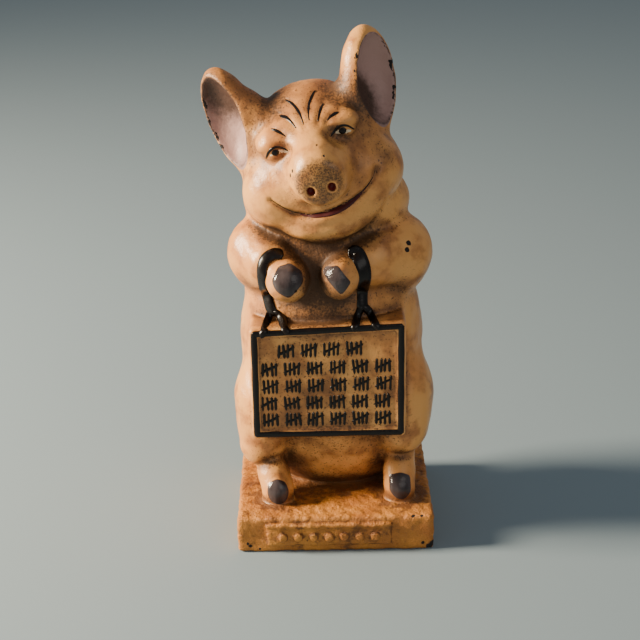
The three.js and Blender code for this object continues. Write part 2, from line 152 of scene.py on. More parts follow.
# Where the finish is painted darker, dirt from handling and age together with painted shade: place, radius
# and strength.
SHADE_AND_DIRT_PLACES = [
    ((-3, -18, 105), 7, 0.9),  # under the chin
    ((12, -18, 109), 7, 0.7),
    ((-17, -16, 107), 6, 0.5),
    ((-4, -21, 94), 8, 0.9),  # between the hands
    ((-4, -20, 85), 10, 0.9),
    ((-3, -12, 149), 13, 0.6),  # the forehead
    ((-2, -26, 59), 24, 0.55),  # the slate
    ((0, -16, 34), 16, 0.6),  # the belly
    ((-33, -6, 149), 11, 0.9),  # the left ear
    ((27, -9, 152), 9, 0.3),
    ((-17.5, -8, 146), 6, 0.9),  # between the ears and the brow
    ((-13.5, 0, 150), 6, 0.7),
    ((4, -6, 150), 5, 0.7),
    ((10, -8, 147), 6, 0.9),
    ((17, -20, 132.5), 5, 0.75),  # end of the smile
    ((2, -20, 139), 4, 0.7),  # inner corners of the eyes
    ((-11, -20, 136), 4, 0.2),
    ((23, -13, 89), 7, 0.5),  # under the arms
    ((-28, -14, 88), 5, 0.4),
    ((-24, -22, 88), 5, 0.5),
    ((14, -19, 34), 6, 0.7),  # between the thighs and the belly
    ((-13, -19, 34), 6, 0.7),
    ((-23, -16, 27), 4, 0.6),
    ((22, -17, 30), 4, 0.5),
]
# Places where the paint has come off down to the iron: place and radius.
CHIPS = [
    ((24.5, -14.6, 102.2), 0.85),
    ((23.9, -15.7, 100.4), 0.8),
    ((-11.4, -28.0, 91.6), 0.55),
    ((-11.4, -31.9, 131.0), 0.6),
    ((-12.1, -30.5, 129.3), 0.6),
    ((-4.0, -30.8, 138.6), 0.35),
    ((-2.0, -34.1, 136.2), 0.35),
    ((-9.5, -30, 4.6), 0.85),
    ((-13.4, -30, 4.9), 0.5),
    ((32.4, -30, 2.2), 1.3),
    ((31.0, -30, 1.2), 1.1),
    ((28.8, -30, 2.6), 0.5),
    ((-29.2, -30, 3.4), 0.5),
    ((-28.4, -30, 2.4), 0.6),
    ((-25.3, -30, 1.3), 0.4),
    ((-31.8, -29, 10.6), 0.5),
    ((25.6, -29.4, 12.4), 0.6),
    ((28.5, -29.4, 12.4), 0.5),
]

# ---- Distance fields -------------------------------------
# Each takes points, an array of rows of x, y and z, and gives their distance from a mass, negative inside.


def length(rows):
    return np.sqrt(np.einsum("ij,ij->i", rows, rows))


def local(points, at, turn=(0, 0, 0)):
    """Points in a frame at `at`, turned by degrees about X, Y and Z."""
    matrix = np.array(Euler([math.radians(a) for a in turn]).to_matrix(), np.float32)
    return (points - np.array(at, np.float32)) @ matrix


def egg(points, at, radii, turn=(0, 0, 0)):
    """An ellipsoid. The distance is close to the true one near its surface."""
    q = local(points, at, turn)
    r = np.array(radii, np.float32)
    a, b = length(q / r), length(q / (r * r))
    return a * (a - 1) / np.maximum(b, 1e-5)


def limb(points, start, end, r0, r1):
    """A round bar whose radius goes from `r0` at its start to `r1` at its end."""
    start, end = np.array(start, np.float32), np.array(end, np.float32)
    along = end - start
    share = np.clip((points - start) @ along / (along @ along), 0, 1)
    return length(points - start - share[:, None] * along) - (r0 + (r1 - r0) * share)


def brick(points, low, high, corner=0.0):
    low, high = np.array(low, np.float32), np.array(high, np.float32)
    q = np.abs(points - (low + high) / 2) - (high - low) / 2 + corner
    return length(np.maximum(q, 0)) + np.minimum(q.max(1), 0) - corner


def puck(points, at, radius, half, corner, turn=(0, 0, 0)):
    """A short cylinder along its own Y with rounded edges."""
    q = local(points, at, turn)
    rim = np.stack([np.hypot(q[:, 0], q[:, 2]) - radius + corner, np.abs(q[:, 1]) - half + corner], 1)
    return length(np.maximum(rim, 0)) + np.minimum(rim.max(1), 0) - corner


def union(a, b, soft):
    """Both masses, with a fillet about `soft` wide where they meet."""
    h = np.maximum(soft - np.abs(a - b), 0) / soft
    return np.minimum(a, b) - h * h * soft / 4


def carve(a, b, soft):
    """The mass `a` without `b`."""
    return -union(-a, b, soft)


def together(fields, soft):
    total = fields[0]
    for field in fields[1:]:
        total = union(total, field, soft)
    return total


def chain(points, places, radii, soft):
    """Bars one after another, as an arm's or a leg's bends."""
    pairs = zip(places, places[1:], radii, radii[1:])
    return together([limb(points, a, b, ra, rb) for a, b, ra, rb in pairs], soft)


def fade(value):
    """0 below 0, 1 above 1, and smooth between."""
    value = np.clip(value, 0, 1)
    return value * value * (3 - 2 * value)


def line_distance(flat, line):
    """Distance in a plane from a line of straight runs."""
    line = np.array(line, np.float32)
    nearest = np.full(len(flat), 1e3, np.float32)
    for a, b in zip(line, line[1:]):
        along = b - a
        share = np.clip((flat - a) @ along / (along @ along), 0, 1)
        nearest = np.minimum(nearest, length(flat - a - share[:, None] * along))
    return nearest


def to_head(points):
    return local(points, HEAD, (0, -HEAD_TILT, 0))


# ---- The pig ---------------------------------------------


def trunk(p):
    hips = egg(p, (1.0, 6.3, 38), (29.8, 20.7, 31))
    belly = egg(p, (-0.2, 1.5, 66), (30.4, 23, 42))
    chest = egg(p, (-1, 2, 94), (28.5, 20, 22))
    neck = egg(p, (-1.2, 1, 113), (26.8, 19, 15.5))
    front = egg(p, (-2, -6.8, 80.0), (22.5, 13.0, 12.5))
    return together([hips, belly, chest, neck, front], 6)


def skull(h):
    return union(egg(h, (0, 0.5, 3.5), (20.5, 22, 21)), egg(h, (0, -1, -6.5), (25.5, 21, 16)), 7)


def ear_frame(h, side):
    mirrored = h * np.array([side, 1, 1], np.float32)
    return local(mirrored, EAR_AT, (0, EAR_LEAN, EAR_YAW))


def leaf(e, at, radii):
    """A pointed pod, long in Z, as the part that two eggs set apart in X share."""
    wider = (radii[0] + EAR_PINCH, radii[1], radii[2])
    left = egg(e, (at[0] - EAR_PINCH, at[1], at[2]), wider)
    right = egg(e, (at[0] + EAR_PINCH, at[1], at[2]), wider)
    return -union(-left, -right, 2.5)


def ear_cup(h, side):
    return leaf(ear_frame(h, side), (0.3, -5.8, 1.0), (8.4, 8.2, EAR_LENGTHS[side] - 2.2))


def ear(h, side):
    e = ear_frame(h, side)
    pod = leaf(e, (0, 0, max(EAR_LENGTHS.values()) - EAR_LENGTHS[side]), (9.6, 7.8, EAR_LENGTHS[side]))
    pod = union(pod, egg(e, EAR_ROOTS[side], (7.5, 6.5, 11.5)), 3)
    return carve(pod, ear_cup(h, side), 1.0)


def face(h, d):
    """Adds the face to the skull, whose field is `d`, in the head's own frame."""
    for side in (-1, 1):
        d = union(d, egg(h, (side * 13.8, -12.3, -4.5), (10.5, 8.8, 9.5)), 8)  # cheek
        d = union(d, egg(h, (side * 9.8, -15.8, 13.9), (6.4, 3.7, 3.3), (0, side * 12, 0)), 5)  # brow
    d = union(d, limb(h, (0, -14.5, 10.5), (0.6, -24.5, 4.0), 6.6, 7.4), 6)  # bridge of the muzzle
    d = union(d, limb(h, (0.2, -14.5, 2.0), (0.8, -24.8, 1.2), 12.0, 8.2), 6)  # the muzzle
    d = union(d, egg(h, (0, -15.0, -14.0), (15.5, 9.0, 9.2)), 3)  # chin
    d = union(d, puck(h, (0.7, -29.0, 0.6), 8.0, 4.1, 3.0), 2.0)  # the snout's flat end
    for side, (x, z) in zip((-1, 1), EYES):
        socket = egg(h, (x + side * 0.2, -23.3, z - 0.3), (4.9, 3.2, 2.8), (0, side * 8, 0))
        eyeball = egg(h, (x, -16.6, z), (3.8, 4.0, 3.2))
        upper_lid = egg(h, (x, -17.3, z + 2.9), (5.4, 3.5, 2.5), (0, side * 6, 0))
        d = union(union(carve(d, socket, 2.6), eyeball, 0.8), upper_lid, 1.4)
    for x, z in NOSTRILS:
        d = carve(d, egg(h, (x, -33.2, z), (1.15, 1.9, 1.3)), 0.7)
    # The creases are only worked out near the skin at the front of the face.
    near = np.flatnonzero((np.abs(d) < 3) & (h[:, 1] < -8) & (h[:, 2] > -20) & (h[:, 2] < 26))
    flat = h[near][:, [0, 2]]
    for line, depth, width in CREASES:
        d[near] += depth * np.exp(-((line_distance(flat, line) / width) ** 2))
    return d


def arms(p):
    left = egg(p, (-22.9, -2, 96), (9.3, 13, 12.8))
    forearm = chain(p, [(-23, -5, 96.5), (-18.5, -13, 95.5), (-14.2, -18, 93.6)], [10.2, 8.4, 6.2], 3)
    hand = egg(p, (-13.8, -21.8, 92.6), (6.8, 6.6, 6.7))
    left = union(union(left, forearm, 4), hand, 2)
    right = egg(p, (21.7, -2, 94.6), (9.4, 13, 14))
    forearm = chain(p, [(22, -5, 96.5), (13.4, -12, 96.6), (4.4, -18.5, 94.4)], [10.6, 9.0, 6.0], 3)
    hand = egg(p, (2.5, -21.8, 93.6), (6.1, 6.6, 7.0), (0, 15, 0))
    right = union(union(right, forearm, 4), hand, 2)
    return left, right


def leg(p, side):
    """The left leg, with its knee turned out, or the right."""
    if side < 0:
        thigh = egg(p, (-21.4, -1, 44), (10.8, 17, 21))
        knee, knee_radius = (-24.6, -8.8, 30.0), 7.2
        bends = [(-22.2, -8, 25), (-20.4, -13.2, 20), (-19.2, -16.2, 16.6), (-19.2, -16.4, 12)]
        radii = [5.0, 5.0, 4.9, 5.2]
    else:
        thigh = egg(p, (22, -1, 44), (11.6, 17, 21))
        knee, knee_radius = (22.6, -9.5, 35.2), 8.3
        bends = [(22.2, -7, 28), (22, -13.2, 20.6), (21.8, -16.2, 17), (21.8, -16.4, 12)]
        radii = [5.4, 5.0, 4.8, 5.1]
    thigh = union(thigh, limb(p, (side * 22.4, -5.5, 46), knee, 10.5, knee_radius), 4)
    return union(thigh, chain(p, bends, radii, 2), 1.4)


def on_slate(u, v):
    """World x and z of a point on the slate, from -1 at its left or bottom edge to 1 at its right or top."""
    u, v = np.asarray(u, float), np.asarray(v, float)
    lean = SLATE_FOOT_LEAN + (SLATE_TOP_LEAN - SLATE_FOOT_LEAN) * (v + 1) / 2
    x = u * SLATE_SIZE[0] / 2
    return SLATE_AT[0] + x, SLATE_AT[1] + v * SLATE_SIZE[1] / 2 + x * np.tan(np.radians(lean))


def slate(p):
    """The slate's plate, which grows out of the belly, with a raised border."""
    width, height = SLATE_SIZE
    q = p - np.array((SLATE_AT[0], 0, SLATE_AT[1]), np.float32)
    share = np.clip(q[:, 2] / height + 0.5, 0, 1)
    lean = np.radians(SLATE_FOOT_LEAN + (SLATE_TOP_LEAN - SLATE_FOOT_LEAN) * share)
    q[:, 2] -= q[:, 0] * np.tan(lean)
    plate = brick(q, (-width / 2, SLATE_FACE, -height / 2), (width / 2, -10, height / 2), 1.3)
    x, z = width / 2 - SLATE_BORDER, height / 2 - SLATE_BORDER
    return carve(plate, brick(q, (-x, SLATE_FACE - 9, -z), (x, SLATE_FACE + SLATE_RECESS, z), 0.3), 0.5)


def tail(p):
    """A curl of tail against the rump."""
    q = p - np.array((0, 27, 40), np.float32)
    ring = np.hypot(np.hypot(q[:, 0], q[:, 2]) - 4.6, q[:, 1]) - 1.9
    return union(ring, limb(p, (2, 24.5, 47.5), (4.2, 26.8, 42), 2.6, 1.9), 1)


def relief(p):
    """How far the hooves stand up from the pig's skin."""
    raised = np.zeros(len(p), np.float32)
    near = np.flatnonzero((p[:, 1] < -11) & (p[:, 2] < 104))
    raised[near] = 0.25 * fade(-hoof_distance(p[near][:, [0, 2]]) / 0.5 - 0.2)
    return raised


def hoof_distance(flat):
    """Distance in the front plane from the nearest painted hoof, negative inside it."""
    nearest = np.full(len(flat), 9.0, np.float32)
    for corners in HOOVES:
        corners = np.array(corners, np.float32)
        inside = corners.mean(0)
        reach = np.full(len(flat), -9.0, np.float32)
        for a, b in zip(corners, np.roll(corners, -1, 0)):
            normal = np.array((b[1] - a[1], a[0] - b[0])) / np.hypot(*(b - a))
            normal *= -np.sign((inside - a) @ normal)
            reach = -union(-reach, -(flat - a) @ normal, HOOF_CORNER)
        nearest = np.minimum(nearest, reach)
    return nearest


def ripple(p):
    """The unevenness of a hand-finished pattern, about a tenth of a millimetre."""
    x, y, z = p.T
    slow = np.sin(x * 0.31 + 1.3) * np.sin(y * 0.37 + 0.4) * np.sin(z * 0.27 + 2.1)
    fast = np.sin(x * 0.83 + z * 0.35) * np.sin(z * 0.77 - y * 0.52 + 1.0)
    return 0.16 * slow + 0.07 * fast


def flesh(p):
    """The pig without its plinth and slate."""
    h = to_head(p)
    d = trunk(p)
    for side in (-1, 1):
        d = union(d, leg(p, side), 2.4)
    for arm in arms(p):
        d = union(d, arm, 1.8)
    head = face(h, skull(h))
    for side in (-1, 1):
        head = union(head, ear(h, side), 4.5)
    d = union(d, head, 2.0)
    return union(d, tail(p), 1.2) + ripple(p) - relief(p)


def plinth(p):
    width, depth, height = PLINTH_SIZE
    return brick(p, (-width / 2, -depth / 2, 0), (width / 2, depth / 2, height), PLINTH_CORNER)


def panel(p):
    """A raised panel on the plinth's front, with a ridge along its top and a row of plain studs."""
    front, (x0, z0), (x1, z1) = -PLINTH_SIZE[1] / 2, PANEL_LOW, PANEL_HIGH
    d = brick(p, (x0, front - 0.8, z0), (x1, front + 2, z1), 0.45)
    ridge = limb(p, (x0 + 0.4, front - 0.5, z1 - 0.3), (x1 - 0.3, front - 0.5, z1 - 0.3), 0.8, 0.8)
    d = union(d, ridge, 0.6)
    for x in STUD_PLACES:
        d = union(d, puck(p, (x, front - 0.8, STUD_Z), STUD_RADIUS, 0.85, 0.5), 0.4)
    return d


def bank(p):
    d = union(flesh(p), plinth(p), 1.6)
    d = union(d, slate(p), 0.9)
    return union(d, panel(p), 0.4)


def room(p):
    """The hollow for the coins."""
    h = to_head(p)
    inside = union(trunk(p), skull(h), 3.5) + WALL
    return np.maximum(inside, ROOM_FLOOR - p[:, 2])


def rod_y(p, radius, y0, y1):
    """A cylinder round the screw's axis."""
    q = np.hypot(p[:, 0], p[:, 2] - SCREW_Z) - radius
    return np.maximum(q, np.maximum(y0 - p[:, 1], p[:, 1] - y1))


def tongues(p, room_depth):
    """Four tongues inside the front casting's rim that locate the back casting."""
    y = p[:, 1]
    band = np.maximum(-room_depth - TONGUE_THICK, PARTING - TONGUE_ROOT - y)
    reach = np.maximum(room_depth + TONGUE_GAP, y - PARTING - TONGUE_REACH)
    root = np.maximum(room_depth - 2, y - PARTING + SEAM / 2)
    rows = np.minimum(*[np.abs(p[:, 2] - z - TONGUE_HALF) - TONGUE_HALF for z in TONGUE_ROWS])
    return np.maximum(np.maximum(band, np.minimum(reach, root)), np.maximum(rows, 8 - np.abs(p[:, 0])))


def head_outline(p):
    """Below 0 straight behind the head, seen along Y, where the back casting has to slide away."""
    outline = np.full(len(p), -9.0, np.float32)
    near = np.flatnonzero((p[:, 2] > 124) & (p[:, 1] > 0) & (np.abs(p[:, 0]) > 6))  # where an ear may be
    outline[near] = 99
    for depth in (PARTING, PARTING + 3, PARTING + 6):
        column = p[near].copy()
        column[:, 1] = depth
        outline[near] = np.minimum(outline[near], union(trunk(column), skull(to_head(column)), 2.0))
    return outline


def front_field(p):
    """The front casting, with the tongues and the post inside it."""
    hollow = room(p)
    behind = p[:, 1] - (PARTING - SEAM / 2)
    # The backs of the ears reach past the parting plane, and stay on the front casting.
    d = np.maximum(bank(p), np.minimum(behind, SEAM - head_outline(p)))
    d = np.maximum(d, -hollow)
    d = np.minimum(d, tongues(p, hollow))
    return np.minimum(d, post(p))


def post(p):
    """The post behind the slate that the screw reaches into, with a pocket in its side for the nut."""
    half, front_y, back_y = NUT_HALF + NUT_ROOM, NUT_FRONT - NUT_ROOM, NUT_BACK + NUT_ROOM
    pocket = brick(p, (-half, front_y, SCREW_Z - half), (40, back_y, SCREW_Z + half))
    d = np.maximum(rod_y(p, POST_RADIUS, POST_FRONT, POST_BACK), -pocket)
    return np.maximum(d, -rod_y(p, SCREW_HOLE, SCREW_TIP - 1.5, 60))


def back_field(p):
    """The back casting, with the coin slot and the recess for the screw's head."""
    d = np.maximum(bank(p), (PARTING + SEAM / 2) - p[:, 1])
    d = np.maximum(d, np.maximum(head_outline(p), -room(p)))
    d = np.minimum(d, rod_y(p, BOSS_RADIUS, SCREW_SEAT - WALL, SCREW_SEAT + 1))
    d = np.maximum(d, -rod_y(p, RECESS_RADIUS, SCREW_SEAT, 60))
    d = np.maximum(d, -rod_y(p, SCREW_HOLE, 0, 60))
    (x0, z0), (x1, z1) = COIN_SLOT_LOW, COIN_SLOT_HIGH
    return np.maximum(d, -brick(p, (x0, 8, z0), (x1, 60, z1), 0.6))


# ---- Meshes ----------------------------------------------


def polygonise(field, low, high, step):
    """The field's surface inside a box, as points and quads. Away from it the grid that is read is coarse."""
    low, high = np.array(low, np.float32), np.array(high, np.float32)
    block = 6
    blocks = np.ceil((high - low) / (step * block)).astype(int)
    starts = np.stack(np.meshgrid(*[np.arange(n) for n in blocks], indexing="ij"), -1).reshape(-1, 3)
    size = block * step
    middles = low + (starts + 0.5) * size
    reach = field(middles.astype(np.float32))
    grid = np.repeat(np.repeat(np.repeat(np.sign(reach).reshape(blocks), block, 0), block, 1), block, 2)
    grid = grid.astype(np.float32) * size
    near = starts[np.abs(reach) < size * 1.35 + 1.5]
    cell = np.stack(np.meshgrid(*[np.arange(block)] * 3, indexing="ij"), -1).reshape(-1, 3)
    for part in np.array_split(near, max(1, len(near) // 2500)):
        index = (part[:, None] * block + cell[None]).reshape(-1, 3)
        grid[tuple(index.T)] = field((low + index * step).astype(np.float32))
    volume = openvdb.FloatGrid()
    volume.copyFromArray(grid)
    points, quads = volume.convertToQuads(0.0)
    return points.astype(np.float32) * step + low, quads.astype(np.int32)


def slopes(field, points, h=0.25):
    """The field's gradient at each point, of length one."""
    found = np.empty_like(points)
    for axis in range(3):
        offset = np.zeros(3, np.float32)
        offset[axis] = h
        found[:, axis] = field(points + offset) - field(points - offset)
    return found / np.maximum(length(found), 1e-6)[:, None]


def placed(name, data):
    """A new object in the scene."""
    obj = bpy.data.objects.new(name, data)
    bpy.context.scene.collection.objects.link(obj)
    return obj


def mesh_object(name, points, faces):
    """A smooth-shaded mesh from points in millimetres."""
    mesh = bpy.data.meshes.new(name)
    mesh.from_pydata((np.asarray(points, float) * MM).tolist(), [], [list(map(int, f)) for f in faces])
    mesh.validate()
    mesh.update()
    mesh.polygons.foreach_set("use_smooth", np.ones(len(mesh.polygons), bool))
    return placed(name, mesh)


def facing_out(points, quads):
    """The quads, turned over if the volume inside them comes out negative."""
    a, b, c, d = (points[quads[:, i]] for i in range(4))
    volume = float(np.einsum("ij,ij->i", a, np.cross(b, c) + np.cross(c, d)).sum() / 6)
    return quads[:, ::-1] if volume < 0 else quads


def casting(name, field, low, high, side):
    """Half of the bank: `side` is -1 for what lies before the parting plane and 1 for what lies behind."""
    points, quads = polygonise(field, low, high, STEP)
    quads = facing_out(points, quads)
    outer = np.flatnonzero(np.abs(bank(points)) < 0.6)
    p = points[outer]

    # The outside is drawn on to the true surface, and kept on its own side of the parting plane.
    on_ears = (side < 0) & (head_outline(p) > 0) & (p[:, 1] > PARTING - 1)
    limit = PARTING + side * SEAM / 2 + 99 * on_ears
    for _ in range(2):
        p = p - np.clip(bank(p), -0.3, 0.3)[:, None] * slopes(bank, p) * 0.9
        p[:, 1] = side * np.maximum(side * p[:, 1], side * limit)

    # The casting's texture: sandy on the plinth, and almost smooth on the pig.
    up = slopes(bank, p)
    on_plinth = fade((flesh(p) - 0.3) / 0.8) * fade((14.5 - p[:, 2]) / 1.5)
    sand = 0.2 * grain(p, 1.4, 1) + 0.22 * grain(p, 3.1, 2)
    skin = 0.07 * grain(p, 2.2, 3) + 0.09 * grain(p, 8.5, 4)
    p = p + up * (on_plinth * sand + (1 - on_plinth) * skin)[:, None]
    p[:, 1] = side * np.maximum(side * p[:, 1], side * limit)
    p[:, 2] = np.maximum(p[:, 2], 0)
    points[outer] = p
    obj = mesh_object(name, points, quads)
    obj.data.set_sharp_from_angle(angle=math.radians(55))
    paint_plan(obj, points)
    return obj


def paint_plan(obj, p):
    """Where each colour goes, in millimetres and negative inside a painted place, and where dirt and painted
    shade go.
    """
    h = to_head(p)
    depth = -bank(p)
    depth[(np.abs(p[:, 1] - PARTING) < SEAM / 2 + 0.02) & (head_outline(p) < 0)] = 2  # the rims are bare iron
    attribute(obj, "depth", depth)
    attribute(obj, "off_pig", np.minimum(flesh(p), PLINTH_SIZE[2] + 2.4 - p[:, 2]))
    hoof = hoof_distance(p[:, [0, 2]])
    hoof[p[:, 1] > -10] = 5
    attribute(obj, "hoof", hoof)
    lining = np.minimum(ear_cup(h, -1), ear_cup(h, 1))
    lining[h[:, 2] < 3] = 5
    attribute(obj, "lining", lining)
    attribute(obj, "nostril", np.minimum(*[egg(h, (x, -33.0, z), (1.2, 3.0, 1.35)) for x, z in NOSTRILS]))
    snout = 6.7 * (np.hypot((h[:, 0] - 0.2) / 7.0, (h[:, 2] - 0.8) / 6.6) - 1)
    snout[h[:, 1] > -25] = 6
    attribute(obj, "snout", snout)

    # How much iron there is in front of each point, and how little behind it.
    up = slopes(bank, p)
    # This darkens the paint in hollows: dirt and painted shade together.
    shelter = sum(np.clip(1 - bank(p + up * reach) / reach, 0, 1) for reach in (1.2, 2.5, 5.0, 9.0))
    attribute(obj, "shelter", shelter / 4)
    edge = sum(np.clip(1 + bank(p - up * reach) / reach, 0, 1) for reach in (1.0, 2.0))
    attribute(obj, "edge", edge / 2)
    # Painted shade and dirt at the listed places.
    shade_and_dirt_spots = np.zeros(len(p))
    for place, radius, strength in SHADE_AND_DIRT_PLACES:
        shade_and_dirt_spots += strength * np.exp(-((length(p - np.array(place, np.float32)) / radius) ** 2))
    attribute(obj, "shade_and_dirt_spots", np.clip(shade_and_dirt_spots, 0, 1))


def attribute(obj, name, values):
    layer = obj.data.attributes.new(name, "FLOAT", "POINT")
    layer.data.foreach_set("value", np.asarray(values, np.float32))


def grain(points, cell, seed):
    """Smooth random values from -1 to 1, which change over about `cell` millimetres."""
    place = points / cell
    corner = np.floor(place).astype(np.int64)
    share = place - corner
    share = share * share * (3 - 2 * share)
    total = np.zeros(len(points))
    for i in range(8):
        step = np.array((i & 1, i >> 1 & 1, i >> 2 & 1))
        x, y, z = (corner + step).T
        mixed = (x * 73856093 ^ y * 19349663 ^ z * 83492791 ^ seed * 2654435761) & 0x7FFFFFFF
        mixed = (mixed ^ mixed >> 13) * 1274126177 & 0x7FFFFFFF
        weight = np.where(step, share, 1 - share).prod(1)
        total += weight * ((mixed & 0xFFFF) / 32767.5 - 1)
    return total


def project(flat, start=-50.0, steps=90):
    """Points of the bank's surface whose x and z are given, seen from the front."""
    points = np.stack([flat[:, 0], np.broadcast_to(start, len(flat)), flat[:, 1]], 1).astype(np.float32)
    for _ in range(steps):
        points[:, 1] += bank(points) * 0.7
    return points


def from_head(rows):
    """World x and z of places given as x and z in the head's own frame; any third number stays."""
    rows = np.array(rows, float)
    angle = math.radians(HEAD_TILT)
    x = rows[:, 0] * math.cos(angle) - rows[:, 1] * math.sin(angle)
    z = rows[:, 0] * math.sin(angle) + rows[:, 1] * math.cos(angle)
    rows[:, 0], rows[:, 1] = x + HEAD[0], z + HEAD[2]
    return rows


def curve(rows, spacing):
    """A smooth line through `rows` of any numbers, with a sample every `spacing` or so."""
    rows = np.array(rows, float)
    ends = np.vstack([2 * rows[0] - rows[1], rows, 2 * rows[-1] - rows[-2]])
    samples = []
    for before, a, b, after in zip(ends, ends[1:], ends[2:], ends[3:]):
        count = max(2, math.ceil(np.hypot(*(b - a)[:2]) / spacing))
        for t in np.arange(count) / count:
            cubic = (3 * a - before - 3 * b + after) * t**3 + (2 * before - 5 * a + 4 * b - after) * t**2
            samples.append((cubic + (b - before) * t + 2 * a) / 2)
    return np.array(samples + [rows[-1]])


# ---- Painted lines ---------------------------------------

# A line's cross-section, from edge to edge and back underneath, as a share of half its width.
ACROSS = np.array([-1, -0.84, -0.45, 0, 0.45, 0.84, 1, 0.8, -0.8])
LIFT = np.array([0, 0.62, 0.93, 1, 0.93, 0.62, 0])  # its height there, as a share of the paint's thickness
SUNK = -0.12  # how deep its edges lie in the iron


def rounded_ends(flat, widths):
    """A line's widths, drawn in to a round end at its start and its finish."""
    travelled = np.append(0, np.cumsum(np.hypot(*np.diff(flat, axis=0).T)))
    to_end = np.minimum(travelled, travelled[-1] - travelled)
    rounding = np.clip(2 * to_end / widths, 0, 1)
    return widths * np.maximum(np.sqrt(1 - (1 - rounding) ** 2), 0.1)


def sideways(flat):
    """The direction across a line at each of its points, of length one."""
    ahead = np.gradient(flat, axis=0)
    return np.stack([ahead[:, 1], -ahead[:, 0]], 1) / np.hypot(*ahead.T)[:, None]


def evened(depths):
    """A line's depths, each taken from the foremost ones near it, and then smoothed."""
    padded = np.pad(depths, 5, mode="edge")
    foremost = np.lib.stride_tricks.sliding_window_view(padded, 5).min(1)
    return np.convolve(foremost, np.ones(7) / 7, "valid")


def ribbon_faces(first, last, count):
    """The faces of one line, from its cross-section `first` up to `last`, of `count` points each."""
    faces = []
    for i in range(first, last - 1):
        for j in range(count):
            k = (j + 1) % count
            faces.append([i * count + j, i * count + k, (i + 1) * count + k, (i + 1) * count + j])
    faces.append([first * count + j for j in reversed(range(count))])
    faces.append([(last - 1) * count + j for j in range(count)])
    return faces


def painted(name, paint, routes, thickness, spacing, body=0.5, even=None):
    """Lines of thick paint. Each route's rows are x, z and width, seen from the front.

    `body` is how far below the surface the underside lies. With `even`, a line's edges lie within that much
    of its own evened depth, so that it bridges a step.
    """
    lines = [curve(route, spacing) for route in routes]
    rows = np.vstack(lines)
    starts = np.cumsum([0] + [len(line) for line in lines])
    widths = np.concatenate([rounded_ends(line[:, :2], line[:, 2]) for line in lines])
    sides = np.concatenate([sideways(line[:, :2]) for line in lines])
    count = len(ACROSS)
    middles = project(rows[:, :2], steps=70)
    spread = rows[:, None, :2] + sides[:, None] * (ACROSS * widths[:, None] / 2)[:, :, None]
    points = project(spread.reshape(-1, 2), np.repeat(middles[:, 1] - 4, count), 24)
    up = slopes(bank, points)
    if even is not None:
        depths = [evened(middles[first:last, 1]) for first, last in zip(starts, starts[1:])]
        depth = np.repeat(np.concatenate(depths).astype(np.float32), count)
        points[:, 1] = np.clip(points[:, 1], depth - even, depth + even)
        up = (up + (0, -1.5, 0)) / 2
    heights = np.append(LIFT * (thickness - SUNK) + SUNK, (-body, -body))
    points = points + up * np.tile(heights, len(rows))[:, None]
    faces = [ribbon_faces(first, last, count) for first, last in zip(starts, starts[1:])]
    obj = mesh_object(name, points, sum(faces, []))
    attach(obj, "front")
    obj.data.materials.append(paint)


def spot(x, z, radius):
    """The route of a round spot."""
    return [(x + shift, z, 2 * radius) for shift in (-radius, 0, radius)]


def tapered(line, widest):
    """A brush stroke that swells after its start and runs out to a point."""
    shares = np.linspace(0, 1, len(line))
    widths = widest * (0.42 + 0.58 * np.sin(np.pi * shares**0.75) ** 0.7)
    return [(x, z, w) for (x, z), w in zip(line, widths)]


def tallies():
    """Rows of counting marks in fives, four strokes and a slash, drawn by hand on the slate."""
    random = np.random.default_rng(5)
    strokes = []
    for v, first, groups in TALLY_ROWS:
        for group in range(groups):
            left = first + group * TALLY_GROUP
            for mark in range(4):
                u = left + mark * TALLY_MARK + random.normal(0, 0.004)
                lean, tall = random.normal(0.002, 0.006), 0.128 + random.normal(0, 0.006)
                strokes.append([(u - lean, v + tall), (u, v + 0.01), (u + lean, v - tall)])
            bend = v + random.normal(0, 0.01)
            strokes.append([(left - 0.028, v - 0.06), (left + 0.085, bend), (left + 0.198, v + 0.07)])
    routes = []
    for stroke in strokes:
        places = [on_slate(u, v) for u, v in stroke]
        routes.append([(x, z, width) for (x, z), width in zip(places, random.uniform(0.8, 1.1, 3))])
    return routes


def slate_frame():
    """The black line round the slate, a little uneven."""
    middle, width = SLATE_BORDER / 2, 2.15
    u, v = 1 - middle / (SLATE_SIZE[0] / 2), 1 - middle / (SLATE_SIZE[1] / 2)
    corners = [(-u, -v), (-u, v), (u, v), (u, -v), (-u, -v)]
    routes = []
    for side, (a, b) in enumerate(zip(corners, corners[1:])):
        route = []
        for i, share in enumerate(np.linspace(-0.018, 1.018, 9)):
            x, z = on_slate(*(np.array(a) * (1 - share) + np.array(b) * share))
            route.append((x, z, width + 0.14 * math.sin(i * 2.1 + side * 1.7)))
        routes.append(route)
    return routes


# ---- Materials -------------------------------------------


def srgb(red, green, blue):
    """A colour given from 0 to 255 as the eye reads it, in the linear values that shaders take."""
    channels = [c / 255 for c in (red, green, blue)]
    return (*[c / 12.92 if c <= 0.04045 else ((c + 0.055) / 1.055) ** 2.4 for c in channels], 1)


